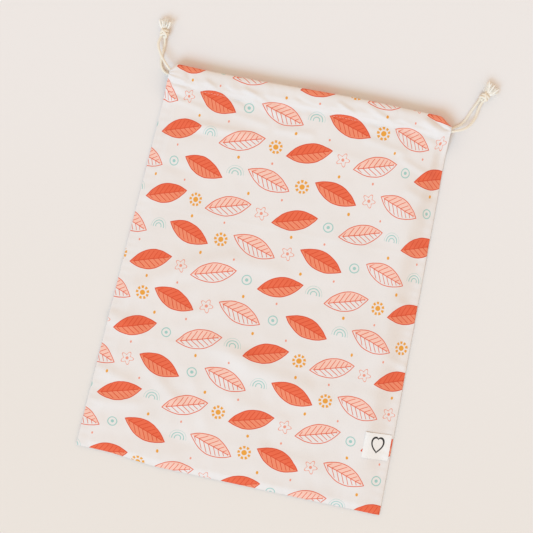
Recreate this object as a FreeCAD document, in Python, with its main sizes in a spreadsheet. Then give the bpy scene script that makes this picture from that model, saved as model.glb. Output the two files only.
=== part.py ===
"""Drawstring gift pouch of printed cotton, lying flat: millimetres, +Z up, +Y towards the mouth.

Two cotton panels are joined by side and bottom seams.  A hem folded down along the mouth of each
panel is the casing that two cords run in.  Each cord goes in at one side, round the opposite
corner and back, and its two ends are knotted together, so that a pull on a knot draws the far
corner of the mouth towards it.  The origin is on the table, under the middle of the pouch.
"""
import FreeCAD
import Part
import Sketcher

import math
import os

V = FreeCAD.Vector

# ---------------------------------------------------------------- sizes
SIZES = [
    # the sewn pouch
    ("body_length", 387.0, "bottom seam to mouth edge, laid flat"),
    ("bottom_width", 305.0, "side to side at the bottom"),
    ("mouth_width", 279.0, "side to side at the mouth, slightly drawn in"),
    ("fabric", 0.5, "thickness of one layer of the cotton"),
    ("seam_allowance", 8.0, "width of the sewn allowance inside the pouch"),
    # the casing along the mouth
    ("casing_depth", 22.0, "mouth edge to the casing's stitch line"),
    ("stitch_lap", 2.0, "hem fold caught under the stitch line"),
    ("casing_rise", 6.0, "distance over which the casing opens from its stitch line"),
    ("casing_end_length", 16.0, "hemmed, gathered length at each end of a casing"),
    ("end_gap", 0.3, "gap between a casing and its gathered end"),
    ("slide_gap", 0.5, "gap between a gathered end and the panel's edge"),
    ("slit", 3.0, "side seam stops this far below the casing"),
    ("mouth_gap", 5.0, "height of the open mouth between the casings"),
    # how the front panel lies
    ("body_rise", 5.6, "height of the front panel over its seams, low on the pouch"),
    ("middle_rise", 6.3, "the same a fifth of the length below the casing"),
    ("shoulder", 30.0, "width of the slope from seam to full height"),
    ("mouth_shoulder", 9.0, "the same beside the casing"),
    # the cords
    ("cord_diameter", 2.5, "cotton cord"),
    ("cord_clearance", 0.3, "between a cord and the casing round it"),
    ("cord_spacing", 8.0, "between the two cords in one casing"),
    ("cord_inset", 9.5, "mouth edge to the middle of the two cords"),
    ("bend_stub", 1.0, "straight cord before it turns round the corner"),
    ("knot_radius", 4.8, "overhand knot, across the cord"),
    ("knot_core", 4.2, "the strands inside the knot's outer turn"),
    ("knot_wrap", 1.7, "radius of the turn of cord round the knot"),
    ("tassel_start", 3.0, "knot centre to the start of the frayed ends"),
    ("tassel_length", 13.0, "frayed ends past the knot"),
    ("tassel_spread", 6.6, "half width of the frayed ends"),
    ("tassel_height", 4.3, "half height of the frayed ends"),
    # the side label
    ("label_width", 27.0, "side seam to the label's free edge"),
    ("label_height", 25.0, "along the side seam"),
    ("label_thickness", 0.5, "folded cotton tape"),
    ("label_up", 52.0, "bottom of the pouch to the label's lower edge"),
    ("label_gap", 0.35, "between the label and the front panel"),
]

doc = FreeCAD.newDocument("gift_pouch")
sheet = doc.addObject("Spreadsheet::Sheet", "Sizes")
for row, (name, value, note) in enumerate(SIZES, start=1):
    sheet.set("A%d" % row, note)
    sheet.set("B%d" % row, str(value))
    sheet.setAlias("B%d" % row, name)
doc.recompute()


def size(name):
    """A driving dimension, read from the sheet."""
    return float(sheet.get(name))


# The same derived sizes serve the expressions (as text) and part.py's own code (as numbers).
def cell(name):
    return "Sizes." + name


HALF_LENGTH = "%s / 2" % cell("body_length")
CASING_LOW = "(%s - %s)" % (HALF_LENGTH, cell("casing_depth"))
CHANNEL = "(%s + 2 * %s)" % (cell("cord_diameter"), cell("cord_clearance"))
CASING_HEIGHT = "(%s + 2 * %s)" % (CHANNEL, cell("fabric"))
FRONT_BASE = "(%s + %s)" % (CASING_HEIGHT, cell("mouth_gap"))
CASING_END = "(%s / 2)" % cell("mouth_width")
CASING_HALF = "(%s - %s)" % (CASING_END, cell("casing_end_length"))
CORD_LINE = "(%s - %s)" % (HALF_LENGTH, cell("cord_inset"))

half_length = size("body_length") / 2
casing_low = half_length - size("casing_depth")
casing_height = size("cord_diameter") + 2 * size("cord_clearance") + 2 * size("fabric")
front_base = casing_height + size("mouth_gap")
cord_line = half_length - size("cord_inset")
cord_radius = size("cord_diameter") / 2
seam_top = 3 * size("fabric")           # back panel and the two folded allowances


def half_width(y):
    """Half the pouch's width at y: its sides taper straight from bottom to mouth."""
    share = (y + half_length) / size("body_length")
    return (size("bottom_width") + (size("mouth_width") - size("bottom_width")) * share) / 2


def half_width_at(y):
    """The same, as an expression."""
    return "((%s + (%s - %s) * (%s + %s) / %s) / 2)" % (
        cell("bottom_width"), cell("mouth_width"), cell("bottom_width"),
        y, HALF_LENGTH, cell("body_length"))


# ---------------------------------------------------------------- helpers
def origin_plane(body, role):
    return next(part for part in body.Origin.OriginFeatures if part.Role == role)


def new_body(label):
    body = doc.addObject("PartDesign::Body", label)
    body.Label = label
    return body


def new_sketch(body, name, role, offset=None):
    """A sketch on one of the body's origin planes, moved along its normal by an expression."""
    sketch = body.newObject("Sketcher::SketchObject", name)
    sketch.AttachmentSupport = [(origin_plane(body, role), "")]
    sketch.MapMode = "FlatFace"
    if offset is not None:
        sketch.setExpression("AttachmentOffset.Base.z", offset)
    return sketch


def evaluate(sketch, expression):
    """The value an expression has now, to draw a sketch near its final shape."""
    value = sketch.evalExpression(expression)
    return float(getattr(value, "Value", value))


def draw_loop(sketch, corners, bulge=None):
    """A closed outline through corners given as pairs of expressions.

    The side that leaves corner number bulge is a half circle instead of a straight line."""
    places = [V(evaluate(sketch, x), evaluate(sketch, y), 0) for x, y in corners]
    first = sketch.GeometryCount
    count = len(corners)
    for number, place in enumerate(places):
        following = places[(number + 1) % count]
        if number == bulge:
            middle = (place + following) * 0.5
            radius = (following - place).Length / 2
            circle = Part.Circle(middle, V(0, 0, 1), radius)
            sketch.addGeometry(Part.ArcOfCircle(circle, -math.pi / 2, math.pi / 2))
        else:
            sketch.addGeometry(Part.LineSegment(place, following))
    for number in range(count):
        here, following = first + number, first + (number + 1) % count
        sketch.addConstraint(Sketcher.Constraint("Coincident", here, 2, following, 1))
    for number, (x, y) in enumerate(corners):
        for kind, expression in (("DistanceX", x), ("DistanceY", y)):
            value = evaluate(sketch, expression)
            index = sketch.addConstraint(
                Sketcher.Constraint(kind, -1, 1, first + number, 1, value))
            sketch.setExpression("Constraints[%d]" % index, expression)
        if number == bulge:
            value = evaluate(sketch, x)
            index = sketch.addConstraint(
                Sketcher.Constraint("DistanceX", -1, 1, first + number, 3, value))
            sketch.setExpression("Constraints[%d]" % index, x)


def pad(body, sketch, length, symmetric=False):
    feature = body.newObject("PartDesign::Pad", body.Label + "_pad")
    feature.Profile = sketch
    feature.SideType = "Symmetric" if symmetric else "One side"
    feature.setExpression("Length", length)
    return feature


def flat_piece(label, corners, base, thickness):
    """A flat cloth piece of the given outline, at height base."""
    body = new_body(label)
    sketch = new_sketch(body, label + "_outline", "XY_Plane", base)
    draw_loop(sketch, corners)
    pad(body, sketch, thickness)
    return body


# ---------------------------------------------------------------- panels and seams
BOTTOM = "(-%s)" % HALF_LENGTH
ALLOWANCE = cell("seam_allowance")
SEAM_HEIGHT = "(2 * %s)" % cell("fabric")

flat_piece(
    "back_panel",
    [("-" + half_width_at(BOTTOM), BOTTOM), (half_width_at(BOTTOM), BOTTOM),
     (half_width_at(CASING_LOW), CASING_LOW), ("-" + half_width_at(CASING_LOW), CASING_LOW)],
    "0", cell("fabric"))

SEAM_END = "(%s - %s)" % (CASING_LOW, cell("slit"))
for side, sign in (("left", "-"), ("right", "")):
    outer_low, outer_high = half_width_at(BOTTOM), half_width_at(SEAM_END)
    corners = [(outer_low, BOTTOM), (outer_high, SEAM_END),
               ("(%s - %s)" % (outer_high, ALLOWANCE), SEAM_END),
               ("(%s - %s)" % (outer_low, ALLOWANCE), BOTTOM)]
    flat_piece(side + "_side_seam", [(sign + x, y) for x, y in corners],
               cell("fabric"), SEAM_HEIGHT)

SEAM_INNER = "(%s + %s)" % (BOTTOM, ALLOWANCE)
bottom_end = "(%s - %s)" % (half_width_at(BOTTOM), ALLOWANCE)
bottom_inner_end = "(%s - %s)" % (half_width_at(SEAM_INNER), ALLOWANCE)
flat_piece(
    "bottom_seam",
    [("-" + bottom_end, BOTTOM), (bottom_end, BOTTOM),
     (bottom_inner_end, SEAM_INNER), ("-" + bottom_inner_end, SEAM_INNER)],
    cell("fabric"), SEAM_HEIGHT)


def draped_surface(base):
    """The front panel's lower face: flat on its seams, crowned between them, full at the mouth."""
    allowance = size("seam_allowance")
    shoulder, mouth_shoulder = size("shoulder"), size("mouth_shoulder")
    mouth_rise = front_base - seam_top
    low, length = -half_length, casing_low + half_length
    # along the pouch: place, rise, width of the side slopes
    rows = [
        (low, 0.0, shoulder),
        (low + allowance, 0.0, shoulder),
        (low + allowance + 0.25 * shoulder, 0.1 * size("body_rise"), shoulder),
        (low + allowance + 0.75 * shoulder, 0.9 * size("body_rise"), shoulder),
        (low + allowance + shoulder, size("body_rise"), shoulder),
        (low + 0.45 * length, size("body_rise"), shoulder),
        (low + 0.80 * length, size("middle_rise"), 0.8 * shoulder),
        (casing_low - size("casing_depth"), mouth_rise, 2 * mouth_shoulder),
        (casing_low - size("casing_depth") / 2, mouth_rise, mouth_shoulder),
        (casing_low, mouth_rise, mouth_shoulder),
    ]
    # across a side slope: share of its width, share of the rise
    slope = [(0.0, 0.0), (0.25, 0.1), (0.75, 0.9), (1.0, 1.0)]
    poles = []
    for y, rise, slope_width in rows:
        width = half_width(y)
        inner = width - allowance
        side = [(width, 0.0)] + [(inner - s * slope_width, r * rise) for s, r in slope]
        side.append(((inner - slope_width) / 2, rise))
        across = [(-x, z) for x, z in side] + [(0.0, rise)] + [(x, z) for x, z in side[::-1]]
        poles.append([V(x, y, base + z) for x, z in across])
    degree = 3
    knots_u = len(poles) - degree + 1
    knots_v = len(poles[0]) - degree + 1
    surface = Part.BSplineSurface()
    surface.buildFromPolesMultsKnots(
        poles,
        [degree + 1] + [1] * (knots_u - 2) + [degree + 1],
        [degree + 1] + [1] * (knots_v - 2) + [degree + 1],
        [float(knot) for knot in range(knots_u)],
        [float(knot) for knot in range(knots_v)],
        False, False, degree, degree)
    return surface.toShape()


def raised_layer(label, face, thickness):
    """A face of cloth given its thickness straight up."""
    surface = doc.addObject("Part::Feature", label + "_face")
    surface.Shape = face
    layer = doc.addObject("Part::Extrusion", label)
    layer.Base = surface
    layer.DirMode = "Custom"
    layer.Dir = V(0, 0, 1)
    layer.Solid = True
    layer.setExpression("LengthFwd", thickness)
    return layer


front_panel = raised_layer("front_panel", draped_surface(seam_top), cell("fabric"))
front_panel.Label = "front_panel"


# ---------------------------------------------------------------- casings
def casing_outlines(low, high, rise, lap, base):
    """Outer and inner outline of a casing: a flat under side, a hem that rises from the stitch
    line, a rounded fold at the mouth edge, and the channel for the cords inside it."""
    fabric, turn = cell("fabric"), "(%s / 2)" % CASING_HEIGHT
    fold = "(%s - %s)" % (high, turn)
    crest = "(%s + %s)" % (low, rise)
    top = "(%s + %s)" % (base, CASING_HEIGHT)
    outer = [(low, base), (fold, base), (fold, top), (crest, top),
             (low, "(%s + 3 * %s)" % (base, fabric))]
    inner = [("(%s + %s)" % (low, lap), "(%s + %s)" % (base, fabric)),
             (fold, "(%s + %s)" % (base, fabric)),
             (fold, "(%s - %s)" % (top, fabric)),
             (crest, "(%s - %s)" % (top, fabric))]
    return outer, inner


def make_casing(label, base):
    body = new_body(label)
    outer, inner = casing_outlines(CASING_LOW, HALF_LENGTH, cell("casing_rise"),
                                   cell("stitch_lap"), base)
    sketch = new_sketch(body, label + "_section", "YZ_Plane")
    draw_loop(sketch, outer, bulge=1)
    draw_loop(sketch, inner, bulge=1)
    pad(body, sketch, "2 * (%s - %s)" % (CASING_HALF, cell("end_gap")), symmetric=True)


def make_casing_end(label, sign, base):
    """The hemmed end of a casing, gathered towards the cords as it nears the corner."""
    body = new_body(label)
    cord_room = "((%s + %s) / 2)" % (cell("cord_spacing"), CHANNEL)
    turn = "(%s / 2)" % CASING_HEIGHT
    wide = casing_outlines("(%s + %s)" % (CASING_LOW, cell("slide_gap")), HALF_LENGTH,
                           "(%s - %s)" % (cell("casing_rise"), cell("slide_gap")),
                           cell("stitch_lap"), base)
    narrow = casing_outlines("(%s - %s - %s)" % (CORD_LINE, cord_room, turn),
                             "(%s + %s + %s)" % (CORD_LINE, cord_room, turn),
                             turn, cell("fabric"), base)
    for part, kind in ((0, "PartDesign::AdditiveLoft"), (1, "PartDesign::SubtractiveLoft")):
        sketches = []
        for name, outlines, place in (("wide", wide, CASING_HALF), ("narrow", narrow, CASING_END)):
            sketch = new_sketch(body, "%s_%s_%d" % (label, name, part), "YZ_Plane", sign + place)
            draw_loop(sketch, outlines[part], bulge=1)
            sketches.append(sketch)
        loft = body.newObject(kind, "%s_loft_%d" % (label, part))
        loft.Profile = sketches[0]
        loft.Sections = [sketches[1]]
        loft.Ruled = True


for layer, base in (("back", "0"), ("front", FRONT_BASE)):
    make_casing(layer + "_casing", base)
    for side, sign in (("left", "-"), ("right", "")):
        make_casing_end("%s_%s_casing_end" % (side, layer), sign, base)


# ---------------------------------------------------------------- cords
def cord_path(points):
    """Straight runs joined by tangent arcs, as large as the runs on either side allow."""
    edges, radii, here = [], [], points[0]
    for before, corner, after in zip(points, points[1:], points[2:]):
        back, ahead = (before - corner), (after - corner)
        reach = 0.45 * min(back.Length, ahead.Length)
        turn = math.pi - back.getAngle(ahead)
        radius = reach / math.tan(turn / 2)
        back.normalize()
        ahead.normalize()
        inward = (back + ahead).normalize()
        centre = corner + inward * math.hypot(radius, reach)
        start, end = corner + back * reach, corner + ahead * reach
        edges.append(Part.LineSegment(here, start).toShape())
        edges.append(Part.Arc(start, centre - inward * radius, end).toShape())
        radii.append(radius)
        here = end
    edges.append(Part.LineSegment(here, points[-1]).toShape())
    return Part.Wire(edges), radii


def cord_tube(label, path, radii):
    """A round cord along a path, checked against its section times its length."""
    start = path.Edges[0]
    ring = Part.Wire(Part.Circle(start.valueAt(start.FirstParameter),
                                 start.tangentAt(start.FirstParameter), cord_radius).toShape())
    solid = path.makePipeShell([ring], True, True)
    tube = doc.addObject("Part::Feature", label)
    tube.Label = label
    tube.Shape = solid
    expected = math.pi * cord_radius ** 2 * path.Length
    print("%s: length %.1f, radii %s, volume %.4f of expected, lowest %.2f" % (
        label, path.Length, [round(radius, 1) for radius in radii],
        solid.Volume / expected, solid.optimalBoundingBox(False).ZMin))
    if abs(solid.Volume / expected - 1) > 0.01:
        raise RuntimeError(label + ": the tube's volume is wrong")


exit_x = size("mouth_width") / 2
back_cord_height = casing_height / 2
front_cord_height = front_base + casing_height / 2
half_spacing = size("cord_spacing") / 2
knot_height = size("knot_radius")


def make_cord_run(label, side):
    """One cord inside the casings: from its exit through the front casing, round the opposite
    corner and back to its exit through the back casing."""
    front_y = cord_line - side * half_spacing
    back_y = cord_line + side * half_spacing
    far_x = -side * (exit_x + size("bend_stub"))
    front_far = V(far_x, front_y, front_cord_height)
    back_far = V(far_x, back_y, back_cord_height)
    radius = (front_far - back_far).Length / 2
    crown = (front_far + back_far) * 0.5 + V(-side * radius, 0, 0)
    path = Part.Wire([
        Part.LineSegment(V(side * exit_x, front_y, front_cord_height), front_far).toShape(),
        Part.Arc(front_far, crown, back_far).toShape(),
        Part.LineSegment(back_far, V(side * exit_x, back_y, back_cord_height)).toShape()])
    cord_tube(label, path, [radius])


def make_knot(label, centre, turn):
    """An overhand knot of the two cord ends: a round core with one turn of cord about it."""
    place = FreeCAD.Placement(centre, FreeCAD.Rotation(V(0, 0, 1), turn)
                              * FreeCAD.Rotation(V(0, 1, 0), 90))
    core = doc.addObject("Part::Sphere", label + "_core")
    core.setExpression("Radius", cell("knot_core"))
    wrap = doc.addObject("Part::Torus", label + "_wrap")
    wrap.setExpression("Radius1", "%s - %s" % (cell("knot_radius"), cell("knot_wrap")))
    wrap.setExpression("Radius2", cell("knot_wrap"))
    core.Placement = place
    wrap.Placement = place
    knot = doc.addObject("Part::Fuse", label)
    knot.Base = core
    knot.Tool = wrap
    knot.Label = label


def make_tassel(label, centre, turn):
    """The frayed cord ends past the knot: a flattened brush that widens and rounds off."""
    stations = [   # share of the length, share of the spread, share of the height
        (0.0, 0.30, 0.45), (0.45, 0.85, 0.85), (0.8, 1.0, 1.0), (1.0, 0.72, 0.62)]
    sections = []
    for number, (along, spread, height) in enumerate(stations):
        ring = doc.addObject("Part::Ellipse", "%s_ring_%d" % (label, number))
        ring.setExpression("MajorRadius", "%s * %s" % (cell("tassel_spread"), spread))
        ring.setExpression("MinorRadius", "%s * %s" % (cell("tassel_height"), height))
        reach = size("tassel_start") + along * size("tassel_length")
        heading = FreeCAD.Rotation(V(0, 0, 1), turn)
        upright = FreeCAD.Rotation(V(0, 1, 0), V(0, 0, 1), V(1, 0, 0), "ZXY")
        ring.Placement = FreeCAD.Placement(centre + heading.multVec(V(reach, 0, 0)),
                                           heading * upright)
        sections.append(ring)
    tassel = doc.addObject("Part::Loft", label)
    tassel.Sections = sections
    tassel.Solid = True
    tassel.Label = label


# Each side's tails: the points between the exit and the knot, then the knot's place and the
# direction of its frayed ends, in degrees from +X.
PULLS = {
    "left": {
        "side": -1,
        "front": [V(-146.8, 188.4, 11.0), V(-151.6, 194.0, 9.8), V(-154.4, 201.0, 8.2),
                  V(-155.6, 207.6, 6.8), V(-154.0, 214.0, 5.4)],
        "back": [V(-147.5, 180.0, 2.0), V(-152.8, 186.0, 1.8), V(-152.6, 194.6, 1.6),
                 V(-149.6, 202.2, 1.6), V(-149.6, 208.8, 2.6), V(-150.8, 213.6, 4.4)],
        "knot": V(-152.0, 217.4, knot_height),
        "tassel_turn": 99.0,
    },
    "right": {
        "side": 1,
        "front": [V(147.8, 180.4, 11.0), V(155.2, 186.4, 8.6), V(159.4, 194.8, 5.6),
                  V(160.9, 203.4, 3.2), V(161.1, 211.4, 2.6), V(163.6, 218.7, 4.4)],
        "back": [V(147.2, 188.2, 2.0), V(152.0, 194.2, 1.8), V(154.2, 203.0, 1.6),
                 V(157.4, 212.0, 2.4), V(161.0, 220.9, 4.4)],
        "knot": V(164.5, 222.6, knot_height),
        "tassel_turn": 60.0,
    },
}

for name, pull in PULLS.items():
    side = pull["side"]
    make_cord_run(name + "_cord_run", side)
    starts = {
        "front": V(side * exit_x, cord_line - side * half_spacing, front_cord_height),
        "back": V(side * exit_x, cord_line + side * half_spacing, back_cord_height),
    }
    for layer, start in starts.items():
        path, radii = cord_path([start] + pull[layer])
        cord_tube("%s_%s_tail" % (name, layer), path, radii)
    make_knot(name + "_knot", pull["knot"], pull["tassel_turn"])
    make_tassel(name + "_tassel", pull["knot"], pull["tassel_turn"])

# ---------------------------------------------------------------- side label
label_face = draped_surface(seam_top + size("fabric") + size("label_gap"))
label_layer = raised_layer("label_cloth", label_face, cell("label_thickness"))
label_low = size("label_up") - half_length
label_block = doc.addObject("Part::Box", "label_block")
label_block.setExpression("Length", cell("label_width"))
label_block.setExpression("Width", cell("label_height"))
label_block.setExpression("Height", FRONT_BASE)
taper = math.atan((size("bottom_width") - size("mouth_width")) / 2 / size("body_length"))
along_seam = FreeCAD.Rotation(V(0, 0, 1), math.degrees(taper))
label_corner = V(half_width(label_low), label_low, 0)
label_block.Placement = FreeCAD.Placement(
    label_corner - along_seam.multVec(V(size("label_width"), 0, 0)), along_seam)
side_label = doc.addObject("Part::Common", "side_label")
side_label.Base = label_layer
side_label.Tool = label_block
side_label.Label = "side_label"

# ---------------------------------------------------------------- check and write
NODES = ["front_panel", "back_panel", "left_side_seam", "right_side_seam", "bottom_seam",
         "front_casing", "back_casing", "side_label"]
for side in ("left", "right"):
    NODES += ["%s_front_casing_end" % side, "%s_back_casing_end" % side, "%s_cord_run" % side,
              "%s_front_tail" % side, "%s_back_tail" % side, "%s_knot" % side,
              "%s_tassel" % side]

doc.recompute()
for item in doc.Objects:
    if "Invalid" in item.State or "Error" in item.State:
        raise RuntimeError("%s did not build: %s" % (item.Label, item.State))

os.makedirs("parts", exist_ok=True)
for node in NODES:
    item = doc.getObjectsByLabel(node)[0]
    shape = item.Shape
    if shape.isNull() or not shape.isValid() or not shape.Solids:
        raise RuntimeError(node + " has no valid solid")
    shape.exportStep(os.path.join("parts", node + ".step"))
    box = shape.optimalBoundingBox(False)
    print("%-24s solids %d  volume %9.1f  x %7.1f %7.1f  y %7.1f %7.1f  z %5.2f %5.2f" % (
        node, len(shape.Solids), shape.Volume, box.XMin, box.XMax, box.YMin, box.YMax,
        box.ZMin, box.ZMax))
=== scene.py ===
"""Looks of the drawstring gift pouch: printed cotton lying flat, two cotton cords, a side label.

Lengths are in millimetres until a mesh is made, where MM turns them into metres.
"""
import math
import random

import bpy
import numpy as np
from mathutils import Matrix, Vector


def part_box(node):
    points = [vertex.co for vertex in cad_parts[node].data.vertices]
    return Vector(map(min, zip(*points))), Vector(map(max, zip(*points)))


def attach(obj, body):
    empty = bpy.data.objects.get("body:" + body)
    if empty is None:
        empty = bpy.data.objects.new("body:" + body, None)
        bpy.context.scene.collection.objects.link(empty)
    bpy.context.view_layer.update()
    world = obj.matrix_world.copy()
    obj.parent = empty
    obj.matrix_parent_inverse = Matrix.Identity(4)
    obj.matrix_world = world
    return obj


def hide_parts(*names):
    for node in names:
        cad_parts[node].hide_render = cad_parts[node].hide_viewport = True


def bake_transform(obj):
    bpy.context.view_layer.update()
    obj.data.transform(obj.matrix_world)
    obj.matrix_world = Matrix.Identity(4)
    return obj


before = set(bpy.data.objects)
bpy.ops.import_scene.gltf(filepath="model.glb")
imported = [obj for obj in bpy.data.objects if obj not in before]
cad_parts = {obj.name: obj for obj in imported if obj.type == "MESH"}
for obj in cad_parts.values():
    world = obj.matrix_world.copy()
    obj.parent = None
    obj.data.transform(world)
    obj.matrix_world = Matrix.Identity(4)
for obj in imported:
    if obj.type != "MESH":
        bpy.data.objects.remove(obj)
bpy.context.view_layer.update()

MM = 0.001
SEED = 20


def node_box(node):
    """A CAD node's lowest and highest corner in millimetres."""
    low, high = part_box(node)
    return low / MM, high / MM


# ---- places taken from the frame
PANEL_LOW, PANEL_HIGH = node_box("back_panel")
CASING_LOW, CASING_HIGH = node_box("front_casing")
SEAM_HIGH = node_box("left_side_seam")[1]
LABEL_LOW, LABEL_HIGH = node_box("side_label")
BOTTOM = PANEL_LOW.y  # bottom seam
STITCH_LINE = PANEL_HIGH.y  # lower edge of the casing
MOUTH = CASING_HIGH.y  # folded edge of the mouth
BOTTOM_HALF = PANEL_HIGH.x  # half the width at the bottom
EXIT_X = node_box("right_front_casing_end")[1].x  # the cords leave the cloth here
FRONT_BASE = CASING_LOW.z  # under side of the front casing
CASING_HEIGHT = node_box("back_casing")[1].z  # thickness of a casing with its cords
SEAM_TOP = SEAM_HIGH.z  # upper side of the seam allowances
SEAM_END = SEAM_HIGH.y  # upper end of the side seams

# ---- sizes of the cloth and cord
CLOTH = 0.42  # thickness of the cotton
LAYER_GAP, LEAST_GAP = 0.06, 0.05  # air between two layers, as laid and at the least
FLAT_HALF = BOTTOM_HALF  # half the flat width, the same all the way up
LYING_WIDTH = 0.991  # share of the width that the folds leave
FRONT_LOWEST = 0.5 + 2 * CLOTH  # keeps the front's cloth over the back's
EDGE_RADIUS = 2.6  # of the edge turned along a seam
SEAM_WIDTH = 8.0
SEAM_INSET = 0.6  # the allowance starts this far inside the edge
CORD_DIAMETER = 2.5
CORD_LINE = MOUTH - 9.5  # middle of the two cords in a casing
CORD_SPACING = 8.0
FRONT_CORD_Z = FRONT_BASE + CLOTH + CORD_DIAMETER / 2
BACK_CORD_Z = CASING_HEIGHT / 2
OVER_CORD = FRONT_CORD_Z + CORD_DIAMETER / 2 + CLOTH / 2 + 0.03
CASING_RISE = 10.0  # over which the casing opens from its stitch line
FOLD_START = CORD_LINE + CORD_SPACING / 2 + 1.0  # the round fold of the mouth
FOLD_REACH = MOUTH - CLOTH / 2 - FOLD_START
EXIT_Y = CORD_LINE - 1.0  # both cords leave a corner side by side here
EXIT_DROP = 0.75  # the front of a gathered corner lies this much lower

# Where the two sides differ, the left side's value comes first.
GATHER_START = (133.0, 126.0)  # the casing's ends gather from here to the exit
DRAWN_ABOVE = (0.58, 0.72)  # how much of the way to the exit the cloth over it goes
DRAWN_BELOW = 0.46  # the same below the exit, on both sides
SHOULDER = (14.0, 24.0)  # width of the front's slope up from a side seam
MOUTH_SHOULDER = 11.0  # the same beside the casing
LOW_LIFT, BODY_LIFT = 2.2, 5.6  # the front's rise over its seams, low and farther up
OPEN_FROM = 150.0  # the sides stand open above this y
MOUTH_ASKEW = (-3.8, 1.2)  # how far the ends of the mouth lie up or down
BOTTOM_ASKEW = (2.4, -2.0)  # the same for the bottom corners


# ---- small helpers
def smooth(value):
    """0 below 0, 1 above 1, and an even S between."""
    value = np.clip(value, 0.0, 1.0)
    return value * value * (3.0 - 2.0 * value)


def by_side(x, left, right):
    """One value on the left half of the pouch and another on the right half."""
    return np.where(x > 0, right, left)


def half_width(y):
    """Half the width of the lying pouch at y: straight sides, drawn in at the mouth."""
    share = (y - BOTTOM) / (MOUTH - BOTTOM)
    return BOTTOM_HALF + (EXIT_X - BOTTOM_HALF) * share


def from_side(x, y):
    """Distance from the nearer side's edge."""
    return half_width(y) - np.abs(x)


def from_seams(x, y):
    """Distance from the nearest seamed edge."""
    return np.minimum(from_side(x, y), y - BOTTOM)


def free_cloth(x, y):
    """0 on the seams, rising to 1 on the cloth away from them."""
    return smooth(from_seams(x, y) / 16.0)


def opened(y):
    """0 along the sewn sides, rising to 1 where they stand open at the casing."""
    return smooth((y - OPEN_FROM) / (STITCH_LINE - OPEN_FROM))


def waves(x, y, shortest, longest, count, seed):
    """Smooth random relief between about -1 and 1: waves of many directions added up."""
    dice = random.Random(seed)
    total = np.zeros_like(x)
    for _ in range(count):
        heading = dice.uniform(0, math.pi)
        length = dice.uniform(shortest, longest)
        phase = dice.uniform(0, 2 * math.pi)
        along = x * math.cos(heading) + y * math.sin(heading)
        total += np.cos(2 * math.pi * along / length + phase)
    return total / math.sqrt(count)


def ridge(x, y, start, end, width, height):
    """A soft fold along a line from start to end, fading out at both."""
    start, end = np.array(start, float), np.array(end, float)
    run = end - start
    length = np.linalg.norm(run)
    run /= length
    along = (x - start[0]) * run[0] + (y - start[1]) * run[1]
    across = (y - start[1]) * run[0] - (x - start[0]) * run[1]
    fade = smooth((along + width) / (2.5 * width))
    fade *= smooth((length + width - along) / (2.5 * width))
    return height * np.exp(-(across / width) ** 2) * fade


def folded(height, x, y, folds, fade=1.0):
    """A height with folds added, each with its start, end, half width and height."""
    for fold in folds:
        height = height + ridge(x, y, *fold) * fade
    return height


def lay(x, y, z):
    """How the sewn pouch lies: its mouth a little askew and its edges not quite straight."""
    up = smooth((y - 40.0) / 150.0)
    down = smooth((-y - 120.0) / 70.0)
    (left, right), (low_left, low_right) = MOUTH_ASKEW, BOTTOM_ASKEW
    askew = (left + (right - left) * smooth((x + 108.0) / 176.0)) * up
    sag = (low_right + (low_left - low_right) * smooth((-x - 66.0) / 64.0)) * down
    return np.stack([LYING_WIDTH * x, y + askew + sag, z], axis=-1)


# ---- the cloth's shape
# Folds of the front: start, end, half width, height (negative for a hollow).
FRONT_FOLDS = [
    ((-134, -36), (-82, 1), 9.0, 2.3),
    ((-88, -2), (-40, 18), 9.0, 2.1),
    ((-48, 17), (14, 14), 9.5, 1.8),
    ((-48, -64), (-4, -78), 10.0, 2.2),
    ((-20, -76), (66, -94), 10.5, 2.6),
    ((-24, -112), (50, -128), 8.0, 1.7),
    ((-152, -60), (-112, -70), 7.5, 2.4),
    ((-150, -112), (-108, -122), 6.0, 1.7),
    ((-150, -146), (-96, -138), 6.0, 1.6),
    ((-104, -100), (-58, -134), 6.5, 1.8),
    ((-70, -44), (-36, -26), 7.0, 1.3),
    ((114, 130), (122, -176), 14.0, 3.6),
    ((-92, -160), (-34, -166), 7.0, -1.1),
    ((-62, -92), (-30, -150), 6.5, 1.0),
    ((20, -154), (92, -166), 7.0, 1.1),
    ((66, -20), (128, -40), 11.0, 1.1),
    ((40, 62), (112, 44), 12.0, 1.0),
    ((-142, 60), (-92, 76), 7.0, 1.0),
    ((-140, 96), (-100, 92), 5.5, -0.9),
    ((-116, 139), (-44, 140), 4.2, 1.8),
    ((-138, 129), (-92, 131), 3.6, -0.9),
    ((-136, 162), (-100, 156), 3.0, 1.1),
    ((-28, 150), (12, 151), 4.0, 1.4),
    ((-74, 158), (-34, 152), 3.4, 0.9),
    ((20, 140), (84, 132), 5.5, 0.9),
    ((58, 158), (104, 150), 3.6, 1.1),
    ((96, 146), (138, 132), 3.4, 1.2),
    ((108, 118), (140, 108), 4.2, 0.9),
    ((120, 70), (146, 60), 4.0, 1.0),
    ((122, 12), (148, 4), 4.4, 1.0),
    ((126, -44), (150, -50), 4.4, 1.0),
]
# Creases pressed in when the pouch was stored folded: start, end, half width, height.
FRONT_CREASES = [
    ((-96, -60), (-84, 66), 2.2, 0.4),
    ((-150, -74), (146, -70), 1.5, 0.2),
    ((-148, 52), (142, 58), 1.5, 0.2),
]
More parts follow.
